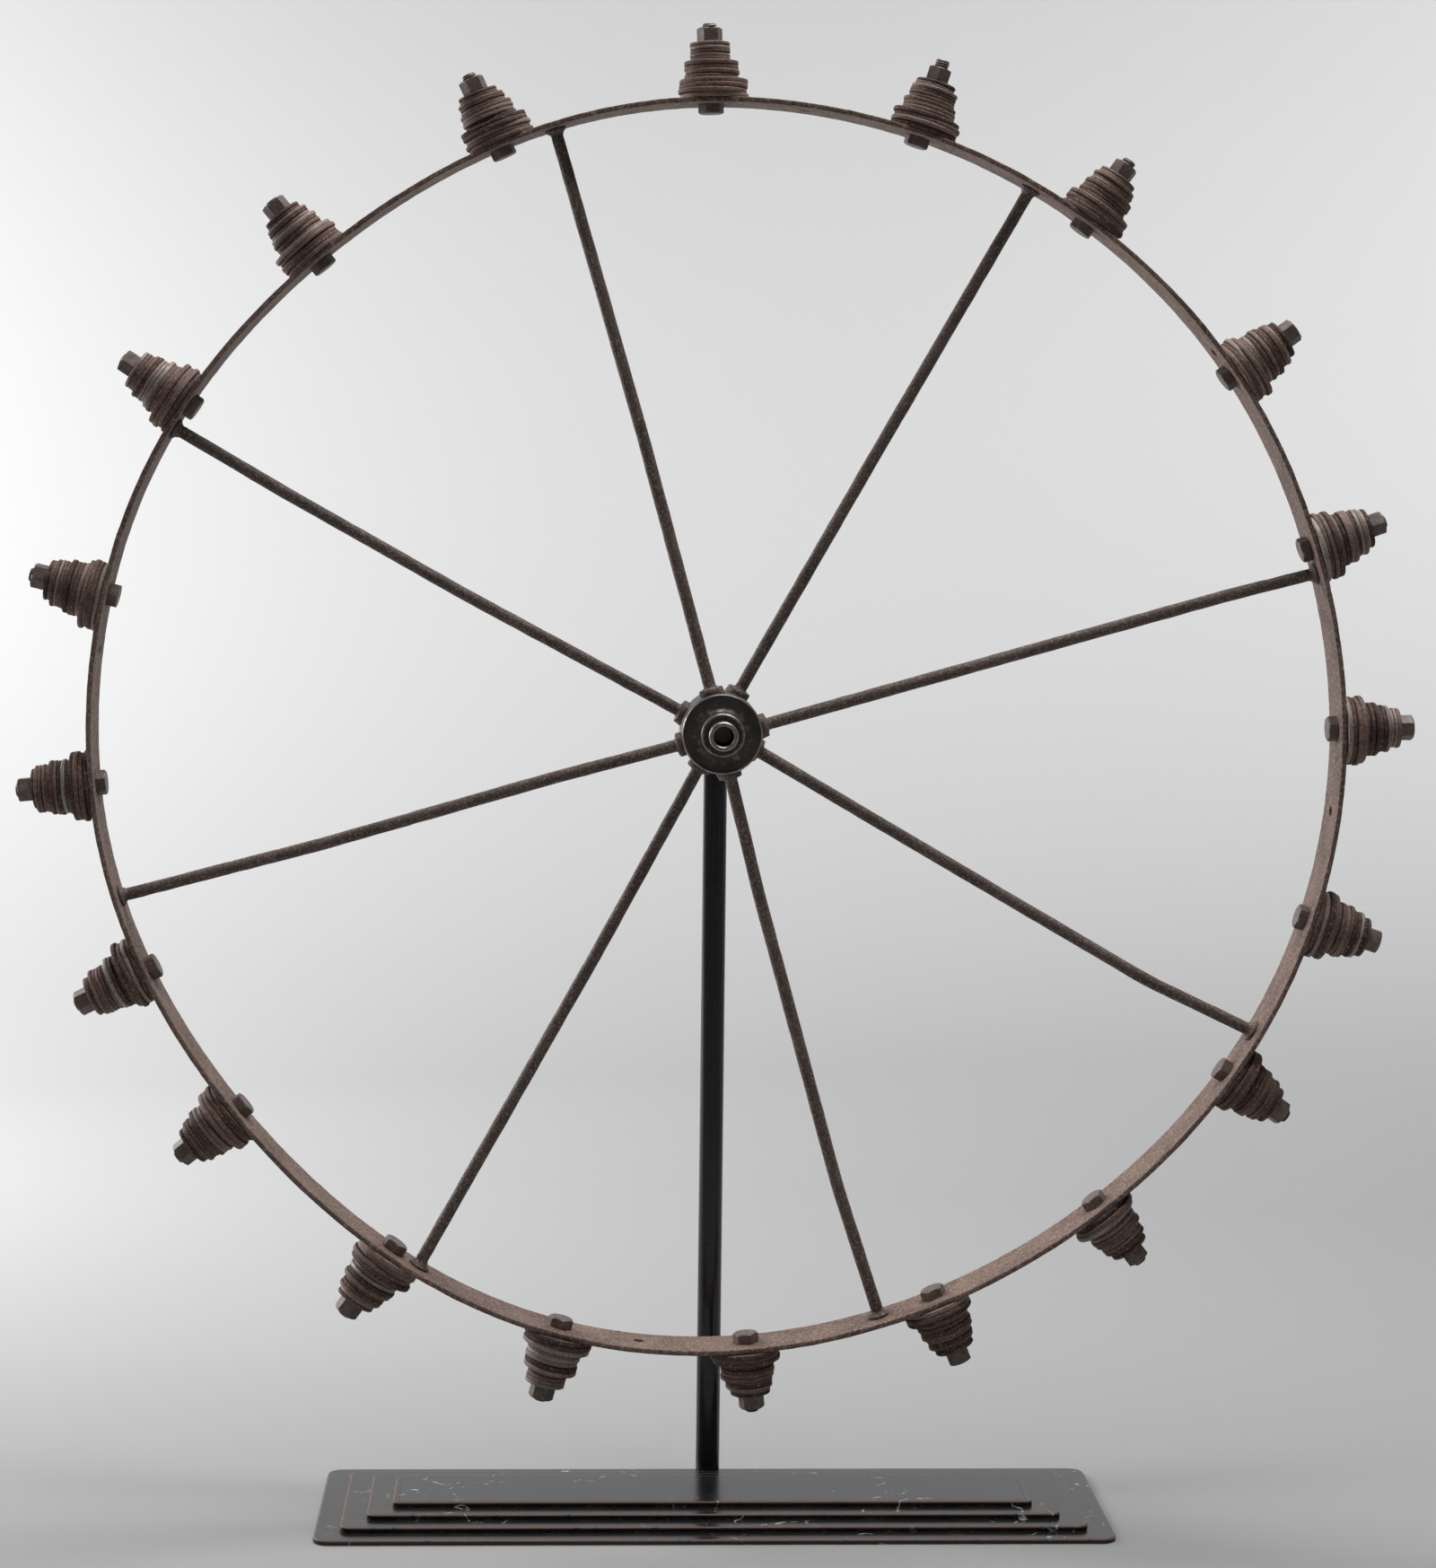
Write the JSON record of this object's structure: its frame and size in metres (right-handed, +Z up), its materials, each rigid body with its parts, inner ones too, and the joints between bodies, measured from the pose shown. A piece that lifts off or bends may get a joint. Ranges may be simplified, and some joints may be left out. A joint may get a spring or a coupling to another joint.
{
  "type": "spoked wheel sculpture",
  "caption": "Old spoked iron wheel ringed by bolted cones of washers, upright and free to turn on a stepped steel stand.",
  "frame": {"origin": "centre of the lowest plate's underside", "axes": "+Z up, +Y from the wheel towards the post behind it, +X to the right seen from the front"},
  "size_m": [0.9066, 0.1524, 0.9645],
  "materials": {
    "stand_paint": "semi-gloss black, worn to bare steel at some edges",
    "peg_steel": "dull turned steel",
    "hub_iron": "dark worn casting",
    "bushing_steel": "dark steel with a worn bright end",
    "rim_iron": "granular light brown rust",
    "spoke_iron": "dark brown rust",
    "fastener_steel": "dull, rust in the corners",
    "washer_steel": "mixed dull zinc and brown rust"
  },
  "bodies": {
    "stand": {"base_plate_1": "stand_paint", "base_plate_2": "stand_paint", "base_plate_3": "stand_paint", "base_plate_4": "stand_paint", "post": "stand_paint", "axle_peg": "peg_steel"},
    "wheel": {"hub": "hub_iron", "hub_bushing": "bushing_steel", "rim": "rim_iron", "spoke_030": "spoke_iron", "spoke_075": "spoke_iron", "spoke_120": "spoke_iron", "spoke_165": "spoke_iron", "spoke_210": "spoke_iron", "spoke_255": "spoke_iron", "spoke_300": "spoke_iron", "spoke_345": "spoke_iron", "lug_bolts": "fastener_steel", "lug_nuts": "fastener_steel", "washer_stack_01": "washer_steel", "washer_stack_02": "washer_steel", "washer_stack_03": "washer_steel", "washer_stack_04": "washer_steel", "washer_stack_05": "washer_steel", "washer_stack_06": "washer_steel", "washer_stack_07": "washer_steel", "washer_stack_08": "washer_steel", "washer_stack_09": "washer_steel", "washer_stack_10": "washer_steel", "washer_stack_11": "washer_steel", "washer_stack_12": "washer_steel", "washer_stack_13": "washer_steel", "washer_stack_14": "washer_steel", "washer_stack_15": "washer_steel", "washer_stack_16": "washer_steel", "washer_stack_17": "washer_steel", "washer_stack_18": "washer_steel", "washer_stack_19": "washer_steel", "washer_stack_20": "washer_steel"}
  },
  "joints": [
    {"name": "wheel_spin", "type": "hinge", "parent": "stand", "child": "wheel", "pos_m": [0, 0, 0.507], "axis": [0, 1, 0], "continuous": true}
  ]
}
